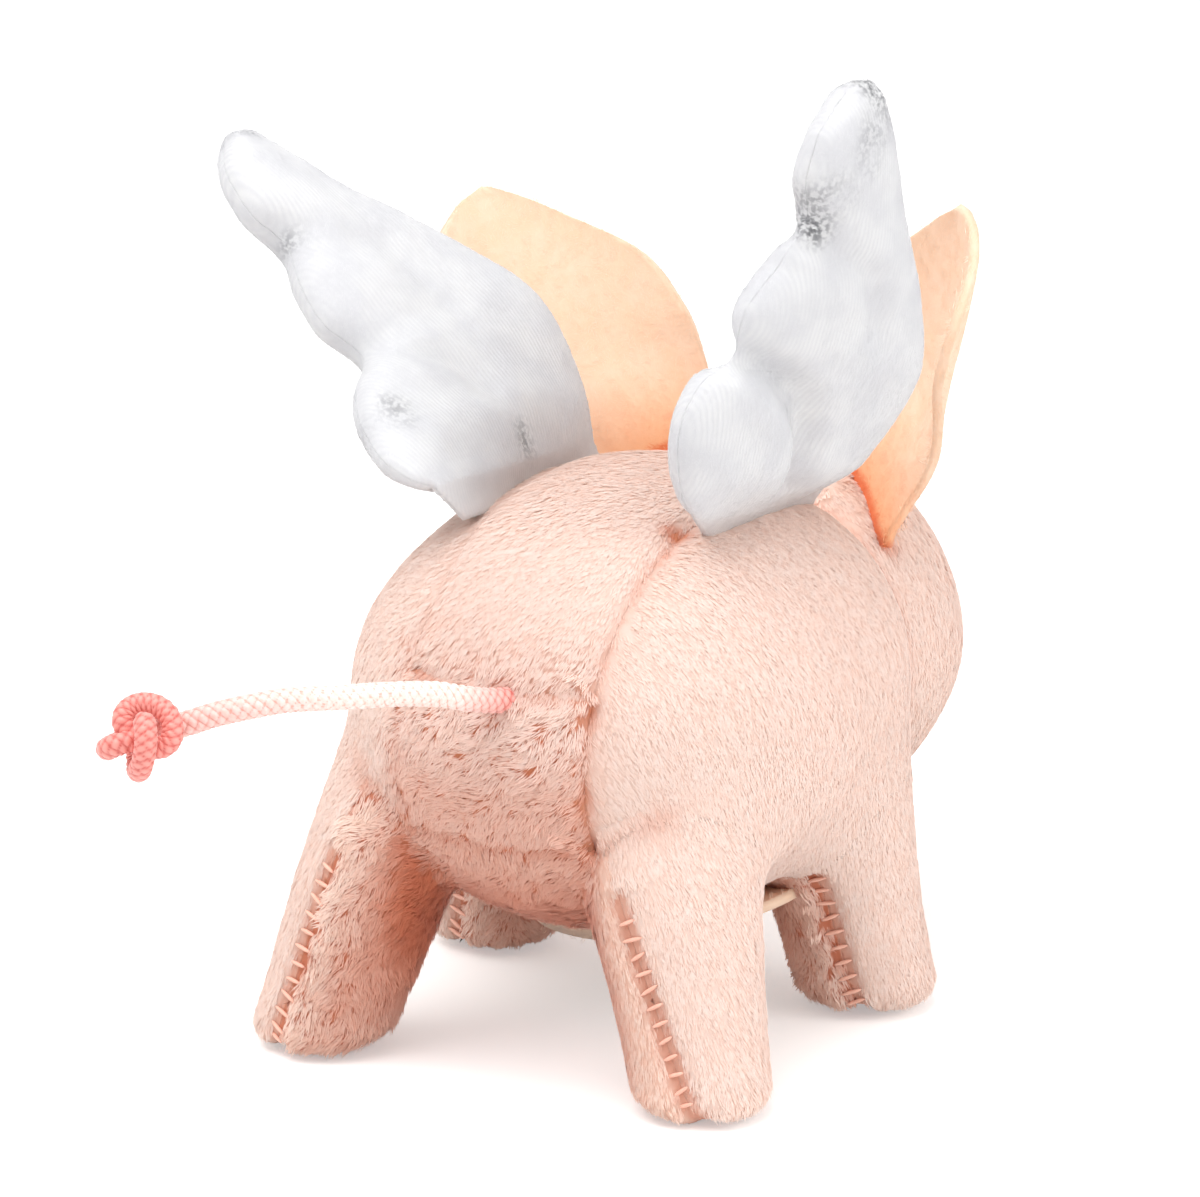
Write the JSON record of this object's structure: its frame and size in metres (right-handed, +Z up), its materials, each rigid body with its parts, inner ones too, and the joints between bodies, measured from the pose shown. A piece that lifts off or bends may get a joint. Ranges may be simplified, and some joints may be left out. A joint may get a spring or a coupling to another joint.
{
  "type": "finger puppet",
  "caption": "Soft stuffed pig finger puppet with felt ears, padded velvet wings, a knotted cord tail and a felt finger sleeve in the belly.",
  "frame": {"origin": "on the surface it stands on, below the middle of the toy's box without its tail", "axes": "+Z up, +Y towards the nose, +X to the pig's right"},
  "size_m": [0.076, 0.1195, 0.0985],
  "materials": {
    "plush": "short pale pink pile, brushed one way, smooth on the flanks and matted on the rump",
    "plush_deep": "short coral pink pile with matted tufts",
    "felt": "pressed orange-peach felt with fine fibres",
    "velvet": "white knitted stretch velvet with a crushed sheen",
    "filling": "loose white fibre",
    "cord": "satin pink braided cord",
    "bead": "polished black",
    "washer": "plain moulded"
  },
  "bodies": {
    "root": {"back_gusset": "plush", "rump_panel": "plush", "right_side_panel": "plush", "left_side_panel": "plush", "belly_panel": "plush_deep", "body_filling": "filling", "finger_sleeve": "felt", "rear_right_leg_outer": "plush", "rear_right_leg_inner": "plush_deep", "rear_right_leg_filling": "filling", "rear_left_leg_outer": "plush", "rear_left_leg_inner": "plush_deep", "rear_left_leg_filling": "filling", "front_right_leg_outer": "plush", "front_right_leg_inner": "plush_deep", "front_right_leg_filling": "filling", "front_left_leg_outer": "plush", "front_left_leg_inner": "plush_deep", "front_left_leg_filling": "filling", "forehead_gusset": "plush", "right_head_panel": "plush", "left_head_panel": "plush", "snout_band": "plush", "snout_disc": "plush_deep", "head_filling": "filling", "right_eye": "bead", "right_eye_washer": "washer", "left_eye": "bead", "left_eye_washer": "washer"},
    "right_wing": {"right_wing_outer_panel": "velvet", "right_wing_inner_panel": "velvet", "right_wing_filling": "filling"},
    "left_wing": {"left_wing_outer_panel": "velvet", "left_wing_inner_panel": "velvet", "left_wing_filling": "filling"},
    "right_ear": {"right_ear": "felt"},
    "left_ear": {"left_ear": "felt"},
    "tail": {"tail_cord": "cord", "tail_knot": "cord"}
  },
  "joints": [
    {"name": "right_wing_flap", "type": "hinge", "parent": "root", "child": "right_wing", "pos_m": [0.02277, -0.00713, 0.05428], "axis": [0, 0.9931, -0.1172], "range_deg": [-15, 45], "stiffness_Nm_per_rad": 0.02},
    {"name": "left_wing_flap", "type": "hinge", "parent": "root", "child": "left_wing", "pos_m": [-0.00383, -0.00713, 0.05428], "axis": [0, -0.9931, 0.1172], "range_deg": [-25, 30], "stiffness_Nm_per_rad": 0.02},
    {"name": "right_ear_fold", "type": "hinge", "parent": "root", "child": "right_ear", "pos_m": [0.02267, 0.01717, 0.04898], "axis": [-0.7071, 0.7071, 0], "range_deg": [0, 30], "stiffness_Nm_per_rad": 0.01},
    {"name": "left_ear_fold", "type": "hinge", "parent": "root", "child": "left_ear", "pos_m": [-0.00373, 0.01717, 0.04898], "axis": [-0.7071, -0.7071, 0], "range_deg": [0, 30], "stiffness_Nm_per_rad": 0.01},
    {"name": "tail_swing", "type": "hinge", "parent": "root", "child": "tail", "pos_m": [0.01027, -0.0435, 0.041], "axis": [0, 0, 1], "range_deg": [-35, 35], "stiffness_Nm_per_rad": 0.004}
  ]
}
